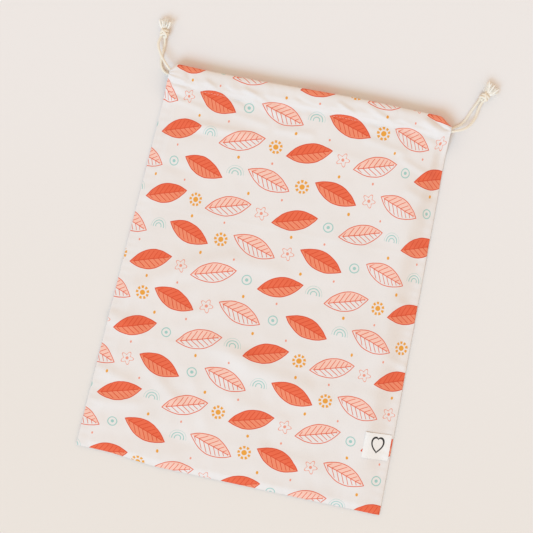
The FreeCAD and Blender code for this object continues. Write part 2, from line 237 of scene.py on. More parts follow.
# Folds across the casing and in its gathered corners.
MOUTH_FOLDS = [
    ((110, 187), (139, 173), 3.0, 1.7),
    ((115, 191), (140, 179.5), 1.4, -1.3),
    ((104, 181), (132, 168), 2.6, -1.2),
    ((124, 195), (138, 186), 2.0, 1.2),
    ((-137, 180.5), (-122, 178), 1.5, 1.3),
    ((-137, 176.5), (-120, 174.5), 1.3, -1.2),
    ((-137, 172), (-116, 170), 1.9, 1.3),
    ((-124, 190), (-113, 173), 3.0, -1.3),
    ((-138, 167), (-118, 162), 2.0, -1.1),
    ((-104, 184), (-84, 172), 2.6, 1.4),
    ((-86, 181), (-58, 167), 2.6, -1.4),
    ((-66, 183), (-30, 170), 2.6, 1.6),
    ((-56, 174), (-22, 163), 2.4, 1.4),
    ((-14, 184), (12, 172), 2.6, -1.1),
    ((26, 186), (54, 173), 2.4, 1.5),
    ((24, 175), (82, 174), 3.0, -1.5),
    ((58, 187), (84, 176), 2.6, 1.2),
    ((88, 180), (108, 166), 2.6, -1.2),
]


def edge_round(x, y):
    """How far the cloth has turned down at a seamed edge, 0 inside and 1 at the edge."""
    share = np.clip(1.0 - from_seams(x, y) / EDGE_RADIUS, 0.0, 1.0)
    return 1.0 - np.sqrt(1.0 - share * share)


def corner_pleats(x, y):
    """Gathers that fan out from where the cords leave each corner, always upwards."""
    total = np.zeros_like(x)
    for side, count, turn in ((1, 11.0, 0.4), (-1, 13.0, 1.3)):
        away_x, away_y = side * (EXIT_X + 7.0) - x, y - (CORD_LINE + 1.5)
        distance = np.hypot(away_x, away_y)
        angle = np.arctan2(away_y, side * away_x)
        height = 0.9 * np.exp(-np.maximum(distance - 9.0, 0.0) / 11.0)
        near = smooth((48.0 - distance) / 20.0)
        total += height * near * (0.5 + 0.5 * np.cos(count * angle + turn))
    return total


def front_height(x, y):
    """Middle of the front panel's cloth over the table, below the casing."""
    inside = from_side(x, y)
    opening = opened(y)
    edge = SEAM_TOP + CLOTH / 2 + (FRONT_BASE - SEAM_TOP) * opening
    lift = LOW_LIFT + (BODY_LIFT - LOW_LIFT) * smooth((y - BOTTOM) / 120.0)
    lift += (FRONT_BASE - SEAM_TOP - BODY_LIFT) * smooth((y - 10.0) / 130.0)
    full = SEAM_TOP + CLOTH / 2 + lift
    broad = by_side(x, *SHOULDER)
    shoulder = broad + (MOUTH_SHOULDER - broad) * smooth((y - 50.0) / 110.0)
    slope = smooth((inside - 3.0) / shoulder) * smooth((y - BOTTOM - 1.5) / 6.0)
    height = edge + (full - edge) * slope
    # the seamed edge turns down to the seam; its allowance makes a low welt beside it
    closed = 1.0 - opening
    height -= 0.95 * closed * edge_round(x, y)
    welt = np.exp(-((inside - 4.0) / 3.0) ** 2) + np.exp(-((y - BOTTOM - 4.0) / 3.0) ** 2)
    height += 0.35 * closed * welt
    return height


def front_folds(x, y):
    """The folds and creases that can be made out one by one."""
    free = free_cloth(x, y)
    relief = 0.30 * waves(x, y, 50.0, 110.0, 14, SEED) * free
    lower = 0.35 + 0.65 * smooth((40.0 - y - 0.3 * x) / 110.0)
    relief += 0.26 * waves(x, y, 16.0, 42.0, 26, SEED + 6) * free * lower
    relief = folded(relief, x, y, FRONT_FOLDS)
    return folded(relief, x, y, FRONT_CREASES, free)


def drawn_thread(along, away, height, pitch, drift, period, reach):
    """Puckers where a thread draws the cloth: uneven waves along it, fading away from it."""
    wave = np.cos(2 * math.pi * along / pitch + drift * np.sin(along / period))
    return height * wave * np.exp(-(away / reach) ** 2)


def puckers(x, y):
    """Fine unevenness, and small puckers along the seams and the stitch line."""
    free = free_cloth(x, y)
    relief = 0.07 * waves(x, y, 12.0, 30.0, 22, SEED + 1) * free
    relief += 0.06 * waves(x, 0.35 * y, 7.0, 16.0, 10, SEED + 2) * smooth((y - 90) / 70.0)
    relief += drawn_thread(y, from_side(x, y) - 5.0, 0.16, 8.5, 1.7, 23.0, 6.0)
    relief += drawn_thread(x, y - BOTTOM - 5.0, 0.14, 9.0, 1.9, 27.0, 6.0)
    relief += drawn_thread(x, STITCH_LINE - y, 0.26, 11.0, 2.4, 31.0, 9.0)
    relief -= 0.4 * np.exp(-((STITCH_LINE - 0.5 - y) / 1.5) ** 2)
    return relief


def casing_profile(y, upper, base):
    """Middle of a casing's upper or lower layer: flat below, rising over the cords above."""
    crest = base + CASING_HEIGHT - CLOTH / 2
    floor = base + CLOTH / 2
    centre = (crest + floor) / 2
    fold = np.sqrt(np.clip(1.0 - ((y - FOLD_START) / FOLD_REACH) ** 2, 0, 1))
    if upper:
        low = base + 1.5 * CLOTH + LAYER_GAP
        rising = low + (crest - low) * smooth((y - STITCH_LINE) / CASING_RISE)
        return np.where(y > FOLD_START, centre + (crest - centre) * fold, rising)
    return np.where(y > FOLD_START, centre - (centre - floor) * fold, floor)


def gather(x):
    """0 along the casing, rising to 1 where the cords leave it."""
    start = by_side(x, *GATHER_START)
    return smooth((np.abs(x) - start) / (EXIT_X + 1.0 - start))


def gathered(x, y, z, front):
    """Draws the ends of a casing together to the exit, and the cloth just below it a little."""
    share = gather(x)
    above = by_side(x, *DRAWN_ABOVE) * (y - EXIT_Y)
    below = DRAWN_BELOW * (y - EXIT_Y)
    panel = DRAWN_BELOW * (STITCH_LINE - EXIT_Y) * smooth((y - 138.0) / (STITCH_LINE - 138.0))
    pull = np.where(y > EXIT_Y, above, np.where(y > STITCH_LINE, below, panel))
    drop = EXIT_DROP * share * smooth((y - OPEN_FROM) / 22.0) if front else 0.0
    return x, y - share * pull, z - drop


def lying_x(share, y):
    """x of a column of the cloth; share runs from -1 at the left edge to 1 at the right."""
    return share * half_width(y)


def cloth_rows(step):
    """The cloth's rows from the bottom seam over the mouth and down its hem.

    Each row is its y, and whether it lies on the hem turned in."""
    count = int((STITCH_LINE - BOTTOM) / step)
    rows = [(y, False) for y in np.linspace(BOTTOM, STITCH_LINE, count)]
    rows += [(y, False) for y in np.linspace(STITCH_LINE, FOLD_START, 18)[1:]]
    turn = np.linspace(0, math.pi, 13)[1:-1]
    rows += [(FOLD_START + FOLD_REACH * math.sin(angle), angle > math.pi / 2) for angle in turn]
    rows += [(y, True) for y in np.linspace(FOLD_START, STITCH_LINE + 0.9, 16)]
    return rows


def front_sheet(shares, rows):
    """Middle surface of the front cloth as an array of points, row by row."""
    points = np.zeros((len(rows), len(shares), 3))
    for number, (y, hem) in enumerate(rows):
        ys = np.full_like(shares, y)
        xs = lying_x(shares, ys)
        if y <= STITCH_LINE and not hem:
            zs = front_height(xs, ys) + front_folds(xs, ys) + casing_join(xs, ys)
            zs = np.maximum(zs + puckers(xs, ys), FRONT_LOWEST)
        else:
            zs = casing_profile(ys, not hem, FRONT_BASE)
            if not hem:
                zs += casing_relief(xs, ys)
        if not hem:
            zs += corner_pleats(xs, ys) * smooth((y - 140.0) / 30.0)
            zs = folded(zs, xs, ys, MOUTH_FOLDS, smooth((MOUTH + 1 - y) / 4.0))
            if y > STITCH_LINE:
                low = FRONT_BASE + 1.5 * CLOTH + LEAST_GAP
                over = OVER_CORD + EXIT_DROP * gather(xs)
                rise = smooth((y - STITCH_LINE - 1.5) / 4.5) if y < MOUTH - 2.5 else 0.0
                zs = np.maximum(zs, low + (over - low) * rise)
        points[number] = lay(*gathered(xs, ys, zs, True))
    return points


def casing_join(x, y):
    """Brings the panel to the casing's lower edge over its last stretch."""
    line = np.full_like(x, STITCH_LINE)
    target = FRONT_BASE + 1.5 * CLOTH + LAYER_GAP + casing_relief(x, line)
    here = front_height(x, line) + front_folds(x, line)
    return (target - here) * smooth((y - STITCH_LINE + 12.0) / 12.0)


def casing_relief(x, y):
    """Soft unevenness of the casing's upper layer over its two cords."""
    relief = 0.42 * waves(x, 0.7 * y, 12.0, 36.0, 16, SEED + 3)
    over_cords = np.exp(-((y - CORD_LINE - CORD_SPACING / 2) / 2.2) ** 2)
    over_cords += np.exp(-((y - CORD_LINE + CORD_SPACING / 2) / 2.2) ** 2)
    fade = smooth((MOUTH - y) / 4.0)
    return (np.abs(relief) + 0.12 * over_cords) * fade * smooth((y - STITCH_LINE + 2) / 4.0)


def back_sheet(shares, rows):
    """Middle surface of the back cloth: flat on the table, its hem turned in on top."""
    points = np.zeros((len(rows), len(shares), 3))
    for number, (y, hem) in enumerate(rows):
        ys = np.full_like(shares, y)
        xs = lying_x(shares, ys)
        if y <= STITCH_LINE and not hem:
            zs = CLOTH / 2 + 0.55 * edge_round(xs, ys) * (1.0 - opened(ys))
            uneven = np.abs(waves(xs, ys, 50.0, 100.0, 10, SEED + 5))
            zs += 0.12 * uneven * smooth(from_side(xs, ys) / 20.0)
        else:
            zs = casing_profile(ys, hem, 0.0)
            if hem:
                zs += casing_relief(xs, ys)
        points[number] = lay(*gathered(xs, ys, zs, False))
    return points


# ---- meshes
def grid_normals(points):
    """Unit normals of a grid of points."""
    across = np.gradient(points, axis=1)
    along = np.gradient(points, axis=0)
    normals = np.cross(across, along)
    return normals / np.linalg.norm(normals, axis=2, keepdims=True)


def added(name, data):
    """A new object in the scene."""
    made = bpy.data.objects.new(name, data)
    bpy.context.scene.collection.objects.link(made)
    return made


def make_object(name, vertices, faces, materials, smooth_faces=True):
    """A mesh object from points in millimetres."""
    mesh = bpy.data.meshes.new(name)
    mesh.from_pydata((np.asarray(vertices) * MM).tolist(), [], faces)
    for material in materials:
        mesh.materials.append(material)
    mesh.polygons.foreach_set("use_smooth", [smooth_faces] * len(mesh.polygons))
    mesh.update()
    return added(name, mesh)


def cloth_object(name, points, normals, coordinates, thickness, materials):
    """A closed sheet: a grid of points thickened to both sides, with cloth coordinates.

    coordinates gives each point's place on the flat cloth in millimetres.  The outer side takes
    the first material and the inner side and edges the second."""
    rows, columns = points.shape[:2]
    count = rows * columns
    outer = (points + normals * thickness / 2).reshape(-1, 3)
    inner = (points - normals * thickness / 2).reshape(-1, 3)
    index = np.arange(count).reshape(rows, columns)
    a, b, c, d = index[:-1, :-1], index[:-1, 1:], index[1:, 1:], index[1:, :-1]
    top = np.stack([a, b, c, d], axis=-1).reshape(-1, 4)
    under = top[:, ::-1] + count
    rim = np.concatenate([index[0, :], index[1:, -1], index[-1, -2::-1], index[-2:0:-1, 0]])
    following = np.roll(rim, -1)
    side = np.stack([rim, rim + count, following + count, following], axis=-1)
    faces = np.concatenate([top, under, side])
    made = make_object(name, np.concatenate([outer, inner]), faces.tolist(), materials)
    slots = np.concatenate([np.zeros(len(top)), np.ones(len(under) + len(side))])
    made.data.polygons.foreach_set("material_index", slots.astype(np.int32))
    flat = np.concatenate([coordinates.reshape(-1, 2)] * 2) * MM
    layer = made.data.uv_layers.new(name="cloth")
    layer.data.foreach_set("uv", flat[faces.reshape(-1)].ravel())
    vertex_normals = np.concatenate([normals.reshape(-1, 3), -normals.reshape(-1, 3)])
    made.data.normals_split_custom_set_from_vertices(vertex_normals.tolist())
    return made


def frames_along(line):
    """Tangent, side and up at each point of a line, turning as little as they can."""
    line = np.asarray(line, float)
    tangent = np.gradient(line, axis=0)
    tangent /= np.linalg.norm(tangent, axis=1, keepdims=True)
    side = np.cross(tangent[0], [0.31, 0.17, 0.94])
    side /= np.linalg.norm(side)
    sides = []
    for direction in tangent:
        side = side - direction * side.dot(direction)
        side /= np.linalg.norm(side)
        sides.append(side.copy())
    sides = np.array(sides)
    return tangent, sides, np.cross(tangent, sides)


def distances(line):
    """How far along a line each of its points is."""
    return np.concatenate([[0], np.cumsum(np.linalg.norm(np.diff(line, axis=0), axis=1))])


def points_at(places, lengths, line):
    """A line's points, or its normals, at distances along it."""
    return np.stack([np.interp(places, lengths, line[:, axis]) for axis in range(3)], axis=-1)


def evenly(line, step):
    """A line's points respaced by about step."""
    line = np.asarray(line, float)
    lengths = distances(line)
    places = np.linspace(0, lengths[-1], max(3, int(lengths[-1] / step) + 1))
    return points_at(places, lengths, line)


def ring_faces(rings, around):
    """Faces of a closed tube whose vertices lie ring after ring."""
    faces = []
    for low in range(0, (rings - 1) * around, around):
        high = low + around
        for step in range(around):
            after = (step + 1) % around
            faces.append((low + step, low + after, high + after, high + step))
    faces.append(tuple(range(around))[::-1])
    faces.append(tuple((rings - 1) * around + step for step in range(around)))
    return faces


def tube_mesh(line, radius_at, around):
    """Vertices and faces of a closed tube; radius_at(point's number, angles) gives its radii."""
    line = np.asarray(line, float)
    _, side, up = frames_along(line)
    angles = np.linspace(0, 2 * math.pi, around, endpoint=False)
    vertices = []
    for number, point in enumerate(line):
        radii = radius_at(number, angles)
        ring = (side[number] * np.cos(angles)[:, None] + up[number] * np.sin(angles)[:, None])
        vertices.append(point + ring * radii[:, None])
    return np.concatenate(vertices), ring_faces(len(line), around)


def join_parts(parts):
    """Several (vertices, faces) as one."""
    vertices, faces, shift = [], [], 0
    for points, sides in parts:
        vertices.append(points)
        faces += [tuple(corner + shift for corner in face) for face in sides]
        shift += len(points)
    return np.concatenate(vertices), faces


STRANDS = 3
LAY_LENGTH = 8.5  # one full turn of the cord's strands
CORD_STEP = 0.55


def twisted_cord(line, radius, around=18):
    """A cord laid from three strands: the hollows between them wind round it."""
    line = evenly(line, CORD_STEP)
    turn = 2 * math.pi * CORD_STEP / LAY_LENGTH

    def radius_at(number, angles):
        lobe = np.abs(np.sin(STRANDS * (angles - turn * number) / 2))
        return radius * (0.80 + 0.24 * np.sqrt(lobe))

    return tube_mesh(line, radius_at, around)


def spline_line(points):
    """Points read from the route's own smooth curve."""
    curve = bpy.data.curves.new("route", "CURVE")
    curve.dimensions = "3D"
    curve.resolution_u = 16
    spline = curve.splines.new("NURBS")
    spline.points.add(len(points) - 1)
    for place, point in zip(spline.points, points):
        place.co = (*point, 1.0)
    spline.order_u = 3
    spline.use_endpoint_u = True
    holder = added("route", curve)
    mesh = bpy.data.meshes.new_from_object(holder)
    line = np.array([vertex.co for vertex in mesh.vertices])
    bpy.data.objects.remove(holder)
    bpy.data.meshes.remove(mesh)
    return line


# ---- shader maths
SOFT_EDGE = 0.28  # width over which an inked edge fades


class Term:
    """A number or colour inside a material, so that its maths can be written as arithmetic."""

    tree = None

    def __init__(self, socket):
        self.socket = socket

    def __add__(self, other):
        return compute("ADD", self, other)

    def __sub__(self, other):
        return compute("SUBTRACT", self, other)

    def __rsub__(self, other):
        return compute("SUBTRACT", other, self)

    def __mul__(self, other):
        return compute("MULTIPLY", self, other)

    def __truediv__(self, other):
        return compute("DIVIDE", self, other)


def feed(socket, value):
    """Links a term to a node's input, or sets a plain value there."""
    if isinstance(value, Term):
        Term.tree.links.new(value.socket, socket)
    else:
        socket.default_value = value


def new_node(kind, **inputs):
    """A shader node with inputs fed by name."""
    node = Term.tree.nodes.new("ShaderNode" + kind)
    for name, value in inputs.items():
        feed(node.inputs[name], value)
    return node


def compute(operation, *values, clamp=False):
    """One step of arithmetic."""
    node = new_node("Math")
    node.operation = operation
    node.use_clamp = clamp
    for socket, value in zip(node.inputs, values):
        feed(socket, value)
    return Term(node.outputs[0])


def absolute(value):
    return compute("ABSOLUTE", value)


def whole(value):
    return compute("FLOOR", value)


def remainder(value, base):
    return compute("FLOORED_MODULO", value, base)


def smaller(a, b):
    return compute("MINIMUM", a, b)


def larger(a, b):
    return compute("MAXIMUM", a, b)


def root(value):
    return compute("SQRT", value)


def covered(distance):
    """1 where a signed distance in millimetres is inside, 0 outside, with a soft edge."""
    return compute("SUBTRACT", 0.5, distance * (1.0 / SOFT_EDGE), clamp=True)


def is_kind(number, kind):
    """1 where a whole number is that one, 0 elsewhere."""
    return compute("COMPARE", number, float(kind), 0.4)


def linear(code):
    """A colour such as F0603F in the renderer's own linear values."""
    values = [int(code[place:place + 2], 16) / 255 for place in (0, 2, 4)]
    values = [v / 12.92 if v <= 0.04045 else ((v + 0.055) / 1.055) ** 2.4 for v in values]
    return (*values, 1.0)


def mixed(below, above, share):
    """One colour going over to another by a share."""
    node = new_node("Mix")
    node.data_type = "RGBA"
    feed(node.inputs[0], share)
    feed(node.inputs[6], below)
    feed(node.inputs[7], above)
    return Term(node.outputs[2])


def noise(vector, scale, detail=2.0, roughness=0.5):
    """Soft noise between 0 and 1; a larger scale is finer."""
    node = new_node("TexNoise", Vector=vector, Scale=scale, Detail=detail, Roughness=roughness)
    return Term(node.outputs[0])


def split_axes(vector):
    """A vector's x and y."""
    node = new_node("SeparateXYZ", Vector=vector)
    return Term(node.outputs["X"]), Term(node.outputs["Y"])


def new_material(name, roughness, sheen=0.0):
    """A material with an empty tree and its Principled shader."""
    material = bpy.data.materials.new(name)
    material.use_nodes = True
    Term.tree = material.node_tree
    shader = material.node_tree.nodes["Principled BSDF"]
    shader.inputs["Roughness"].default_value = roughness
    shader.inputs["Specular IOR Level"].default_value = 0.25
    shader.inputs["Sheen Weight"].default_value = sheen
    shader.inputs["Sheen Roughness"].default_value = 0.6
    return material, shader


def finished(material, shader, colour, height=None, strength=0.25, distance=0.00012):
    """Gives a material its colour and, where it has one, its fine relief."""
    feed(shader.inputs["Base Color"], colour)
    if height is not None:
        node = new_node("Bump", Strength=strength, Distance=distance, Height=height)
        feed(shader.inputs["Normal"], Term(node.outputs["Normal"]))
    return material


def object_place():
    """The rest position of the surface, in metres."""
    return Term(new_node("TexCoord").outputs["Object"])


def cloth_place():
    """Millimetres across and along the flat cloth, and the pair as a vector in metres."""
    node = new_node("UVMap")
    node.uv_map = "cloth"
    place = Term(node.outputs["UV"])
    across, along = split_axes(place)
    return across * (1 / MM), along * (1 / MM), place


def weave_height(across, along, pitch):
    """Plain weave: warp and weft threads that pass over each other in turn."""
    warp = absolute(compute("SINE", across * (math.pi / pitch)))
    weft = absolute(compute("SINE", along * (math.pi / pitch)))
    over = compute("SINE", (across + along) * (math.pi / pitch))
    return warp * 0.5 + weft * 0.5 + over * 0.15


# ---- the print
CORAL, DEEP_CORAL, OUTLINE = "F18C69", "EC6642", "DC4F2C"
PALE_CORAL, PALE_OUTLINE = "F9C5B1", "E5694A"
AMBER, MINT, ROSE = "EDA23C", "A3CBC1", "F09B84"
WHITE_COTTON, SHADED_COTTON = "F0E8E3", "E7DED7"

LEAF_PITCH = (66.0, 33.0)  # between leaves in a row, and between rows
LEAF_HALF = (22.5, 9.6)  # half length and half width
LEAF_TILT = math.radians(17)
INK_LINE = 0.42  # half the width of a drawn line


def lattice(across, along, pitch, start):
    """Local coordinates in a half-drop lattice, with the row and column numbers."""
    row = whole((along - start[1]) * (1 / pitch[1]) + 0.5)
    odd = remainder(row, 2.0)
    shifted = across - start[0] - odd * (pitch[0] / 2)
    column = whole(shifted * (1 / pitch[0]) + 0.5)
    return shifted - column * pitch[0], along - start[1] - row * pitch[1], row, column, odd


def leaf_inks(x, y):
    """Signed distances of a leaf: its outline, and its midrib and veins."""
    half_length, half_breadth = LEAF_HALF
    curve = half_breadth - x * x * (half_breadth / half_length ** 2)
    steepness = x * (2 * half_breadth / half_length ** 2)
    edge = (absolute(y) - curve) / root(steepness * steepness + 1.0)
    midrib = larger(absolute(y) - INK_LINE, absolute(x) - (half_length - 4.0))
    slanted = remainder(x - absolute(y) * 0.9, 5.2) - 2.6
    veins = larger(absolute(slanted) * 0.74 - INK_LINE * 0.8, edge + 1.5)
    return edge, smaller(midrib, veins)


def blossom(x, y, petals, radius, depth):
    """Signed distance of a round flower with that many petals."""
    angle = compute("ARCTAN2", y, x)
    return root(x * x + y * y) - (compute("COSINE", angle * float(petals)) * depth + radius)


def arcs(x, y):
    """Three arcs one inside the other, open at the bottom."""
    distance = root(x * x + y * y)
    rings = absolute(remainder(distance - 1.6, 2.7) - 1.35) - 0.45
    within = larger(distance - 8.2, 2.2 - distance)
    return larger(larger(rings, within), 0.0 - y - 1.0)


def inked(colour, *inks):
    """A colour with inks laid over it, each a colour code and where it lies."""
    for code, share in inks:
        colour = mixed(colour, linear(code), share)
    return colour


def in_turn(kind, *motifs):
    """Inks that take turns: the first motif where kind is 0, the next where it is 1."""
    return [(code, covered(shape) * is_kind(kind, number))
            for number, (code, shape) in enumerate(motifs)]


def painted_cotton(across, along, place):
    """The white cotton with its generic print of leaves, arcs, suns and flowers."""
    wobble_x = (noise(place, 90.0) - 0.5) * 1.3
    wobble_y = (noise(place, 97.0) - 0.5) * 1.1
    u, v = across + wobble_x, along + wobble_y
    shade = noise(place, 14.0, detail=3.0)
    colour = mixed(linear(WHITE_COTTON), linear(SHADED_COTTON), shade)

    # leaves, coral ones and pale ones taking turns along a row
    x, y, _, column, odd = lattice(u, v, LEAF_PITCH, (10.0, 4.0))
    lean = 1.0 - odd * 2.0
    turned_x = x * math.cos(LEAF_TILT) + y * lean * math.sin(LEAF_TILT)
    turned_y = y * math.cos(LEAF_TILT) - x * lean * math.sin(LEAF_TILT)
    edge, drawn = leaf_inks(turned_x, turned_y)
    full = is_kind(remainder(column, 2.0), 0)
    pale = 1.0 - full
    inside = covered(edge)
    line = covered(smaller(absolute(edge + 0.2) - INK_LINE, drawn)) * covered(edge - 0.4)
    upper_half = covered(0.0 - turned_y) * inside
    patchy = noise(place, 55.0, detail=3.0) * 0.35 + 0.75
    colour = inked(colour, (CORAL, inside * full), (DEEP_CORAL, upper_half * full * patchy),
                   (PALE_CORAL, upper_half * pale * patchy), (OUTLINE, line * full),
                   (PALE_OUTLINE, line * pale))

    # one small motif between each two leaves of a row
    start = (10.0 + LEAF_PITCH[0] / 2, 4.0)
    x, y, row, column, _ = lattice(u, v, LEAF_PITCH, start)
    kind = remainder(column + row * 3.0 + whole(row * 0.5), 4.0)
    distance = root(x * x + y * y)
    sun_rays = larger(absolute(distance - 5.4) - 1.3,
                      0.55 - absolute(compute("SINE", compute("ARCTAN2", y, x) * 4.5)))
    sun = smaller(distance - 2.6, sun_rays)
    flower = smaller(absolute(blossom(x, y, 5, 5.0, 1.5)) - INK_LINE, distance - 1.5)
    ring = smaller(absolute(distance - 4.4) - 0.5, distance - 1.6)
    colour = inked(colour, *in_turn(kind, (MINT, arcs(x, y)), (AMBER, sun), (ROSE, flower),
                                    (MINT, ring)))

    # dots scattered between the rows
    x, y, row, column, _ = lattice(u, v, (LEAF_PITCH[0] / 2, LEAF_PITCH[1]),
                                   (10.0 + LEAF_PITCH[0] / 4, 4.0 + LEAF_PITCH[1] / 2))
    dot = root(x * x + y * y * 0.6) - 1.25
    kind = remainder(column + row, 3.0)
    return inked(colour, *in_turn(kind, (AMBER, dot), (ROSE, dot + 0.3)))


def cotton(name, roughness, faded=0.0):
    """Woven cotton.  On the reverse the print is faded and only shows through."""
    made = new_material(name, roughness, sheen=0.12)
    across, along, place = cloth_place()
    colour = painted_cotton(across, along, place)
    if faded:
        colour = mixed(colour, linear("F3EEE9"), faded)
    return finished(*made, colour, weave_height(across, along, 0.5) + noise(place, 900.0) * 0.6)


def cord_cotton(name, dark, light):
    """Natural cotton yarn: fine fibres and soft patches between two colours, with no gloss."""
    material, shader = new_material(name, 1.0)
    shader.inputs["Specular IOR Level"].default_value = 0.0
    place = object_place()
    fibres = noise(place, 1400.0, detail=3.0, roughness=0.6)
    patches = noise(place, 160.0)
    colour = mixed(linear(dark), linear(light), fibres * 0.6 + patches * 0.4)
    return finished(material, shader, colour, fibres, distance=0.0001)


LABEL_MARK = 7.0  # half width of the heart stamped on the label


def label_tape():
    """Off-white cotton tape with a small plain heart."""
    made = new_material("label_tape", 0.85, sheen=0.1)
    across, along, place = cloth_place()
    shade = noise(place, 60.0, detail=3.0)
    colour = mixed(linear("F8F4F0"), linear("F3EEE9"), shade)
    x = absolute(across) * (1 / LABEL_MARK)
    y = along * (1 / LABEL_MARK) - root(larger(x, 0.0)) * 0.55
    heart = (root(x * x + y * y) - 0.92) * LABEL_MARK
    colour = inked(colour, ("2B2927", covered(absolute(heart) - 0.85)))
    height = weave_height(across, along, 0.42) + noise(place, 900.0) * 0.4
    return finished(*made, colour, height, 0.35, 0.00015)


def thread_cotton():
    """The sewing thread, nearly white."""
    made = new_material("sewing_thread", 0.7, sheen=0.1)
    shade = noise(object_place(), 700.0)
    return finished(*made, mixed(linear("F2EDE6"), linear("E2DBD2"), shade))


def floor_paper():
    """The pale table, with painted light: a little lighter towards the top of the picture, as the
    light falls off towards the bottom.
    """
    made = new_material("pale_surface", 0.95)
    place = object_place()
    _, upwards = split_axes(place)
    upwards = upwards * (1 / (MOUTH - BOTTOM) / MM) + 0.5
    # painted falloff of the light: the table goes lighter towards the top, with some random
    # unevenness added
    share = compute("ADD", upwards, noise(place, 3.0, detail=4.0) * 0.3 - 0.15, clamp=True)
    return finished(*made, mixed(linear("ECE4DC"), linear("EEE7E2"), share))


PRINTED = cotton("printed_cotton", 0.88)
REVERSE = cotton("cotton_reverse", 0.9, faded=0.8)
CORD = cord_cotton("cord_cotton", "E9DAC2", "FBF3E6")
FIBRE = cord_cotton("tassel_cotton", "F9F1E3", "FEFAF3")
TAPE = label_tape()
THREAD = thread_cotton()


# ---- cloth pieces
# Each cord draws the corner opposite its own knot: pulling the right cord draws in the left half of
# the cloth, and pulling the left cord the right half.
DRAW_LEAN = math.radians(40)  # the gathering reaches lower beside the seams


def drawn_in(piece, side):
    """Bakes the placement of a half of the pouch into its mesh."""
    sign = 1 if side == "right" else -1
    end = Vector((sign * EXIT_X, MOUTH, 0))
    heading = Vector((sign * math.cos(DRAW_LEAN), math.sin(DRAW_LEAN), 0))
    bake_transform(piece)


COLUMNS = 100  # in each half of the cloth
COLUMN_CROWDING = 0.92  # below 1, columns lie closer towards the side seams
EASED_WIDTH = 60.0  # beside each edge, where the mouth's extra cloth lies
BACK_PRINT_SHIFT = np.array([21.0, 9.0])


def flat_coordinates(points, shares, rows):
    """Place on the flat cloth: straight across, and the length along from the bottom seam."""
    along = distances(points[:, len(shares) // 2])
    edge = np.array([half_width(y) for y, _ in rows])
    across = np.abs(points[:, :, 0])
    plain = EXIT_X - EASED_WIDTH
    spread = (FLAT_HALF - plain) / (edge - plain)
    flat = np.where(across > plain, plain + (across - plain) * spread[:, None], across)
    flat = flat * np.sign(points[:, :, 0])
    return np.stack([flat, np.broadcast_to((along + BOTTOM)[:, None], flat.shape)], axis=2)


def make_cloth(layer, shape, step):
    """Both halves of one panel with its casing; gives the whole sheet's points, normals, rows."""
    half = np.linspace(0, 1, COLUMNS + 1) ** COLUMN_CROWDING
    shares = np.concatenate([-half[:0:-1], half])
    rows = cloth_rows(step)
    points = shape(shares, rows)
    normals = grid_normals(points)
    flat = flat_coordinates(points, shares, rows)
    facing_down = layer == "back"
    if facing_down:
        normals = -normals
        flat = flat * np.array([-1.0, 1.0]) + BACK_PRINT_SHIFT
    # on the back, this length still has the print's shift in it
    halves = {"left": slice(0, COLUMNS + 1), "right": slice(COLUMNS, 2 * COLUMNS + 1)}
    for side, columns in halves.items():
        grids = [grid[:, columns] for grid in (points, normals, flat)]
        if facing_down:
            grids = [grid[:, ::-1] for grid in grids]
        piece = cloth_object("%s_cloth_%s" % (layer, side), *grids, CLOTH, [PRINTED, REVERSE])
        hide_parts(layer + "_panel", layer + "_casing",
                    "%s_%s_casing_end" % (side, layer))
        drawn_in(piece, side)
        "floor" if layer == "back" else "back_cloth_" + side
    return points, normals, rows


make_cloth("back", back_sheet, 3.0)
front_points, front_normals, front_rows = make_cloth("front", front_sheet, 1.9)


# ---- seams and stitching
def seam_strip(name, edge_points, inward):
    """The overlocked allowance of a seam, two layers of cloth lying inside the pouch."""
    offsets = np.linspace(SEAM_INSET, SEAM_WIDTH, 7)
    points = np.stack([edge_points + inward * offset for offset in offsets], axis=1)
    points[:, :, 2] = (SEAM_TOP + CLOTH) / 2 + 0.10 * np.cos(points[:, :, 1] / 2.3 + offsets)
    points = lay(points[..., 0], points[..., 1], points[..., 2])
    normals = grid_normals(points)
    if normals[..., 2].mean() < 0:
        points, normals = points[:, ::-1], -normals[:, ::-1]
    flat = points[:, :, :2]
    strip = cloth_object(name, points, normals, flat, SEAM_TOP - CLOTH - 0.25, [REVERSE, REVERSE])
    return strip


def make_seams():
    """The side seams and the bottom seam."""
    ys = np.linspace(BOTTOM + 0.5, SEAM_END, 120)
    for side, sign in (("left", -1), ("right", 1)):
        edge = np.stack([sign * half_width(ys), ys, np.zeros_like(ys)], axis=1)
        strip = seam_strip(side + "_seam_allowance", edge, np.array([-sign, 0, 0]))
        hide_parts(side + "_side_seam")
        drawn_in(strip, side)
    reach = BOTTOM_HALF - SEAM_WIDTH - SEAM_INSET
    xs = np.linspace(-reach, reach, 110)
    edge = np.stack([xs, np.full_like(xs, BOTTOM + 0.3), np.zeros_like(xs)], axis=1)
    strip = seam_strip("bottom_seam_allowance", edge, np.array([0, 1, 0]))
    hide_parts("bottom_seam")
    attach(strip, "pouch")


STITCH_LENGTH, STITCH_GAP = 2.2, 0.8
STITCH_WIDTH, STITCH_HEIGHT = 0.11, 0.13  # half measures of the thread
STITCH_SIDES = 6
STITCH_RINGS = [(-0.5, 0.15, 0.0), (-0.38, 0.8, 0.5), (0.0, 1.0, 0.75), (0.38, 0.8, 0.5),
                (0.5, 0.15, 0.0)]  # place along it, share of its width, rise


def stitch(centre, along, up):
    """One stitch: a small flattened bead of thread lying in the cloth."""
    across = np.cross(up, along)
    vertices = []
    for place, width, height in STITCH_RINGS:
        middle = centre + along * place * STITCH_LENGTH + up * (height * 0.08 - 0.06)
        for angle in np.linspace(0, 2 * math.pi, STITCH_SIDES, endpoint=False):
            vertices.append(middle + across * math.cos(angle) * width * STITCH_WIDTH
                            + up * math.sin(angle) * width * STITCH_HEIGHT)
    return np.array(vertices), ring_faces(len(STITCH_RINGS), STITCH_SIDES)


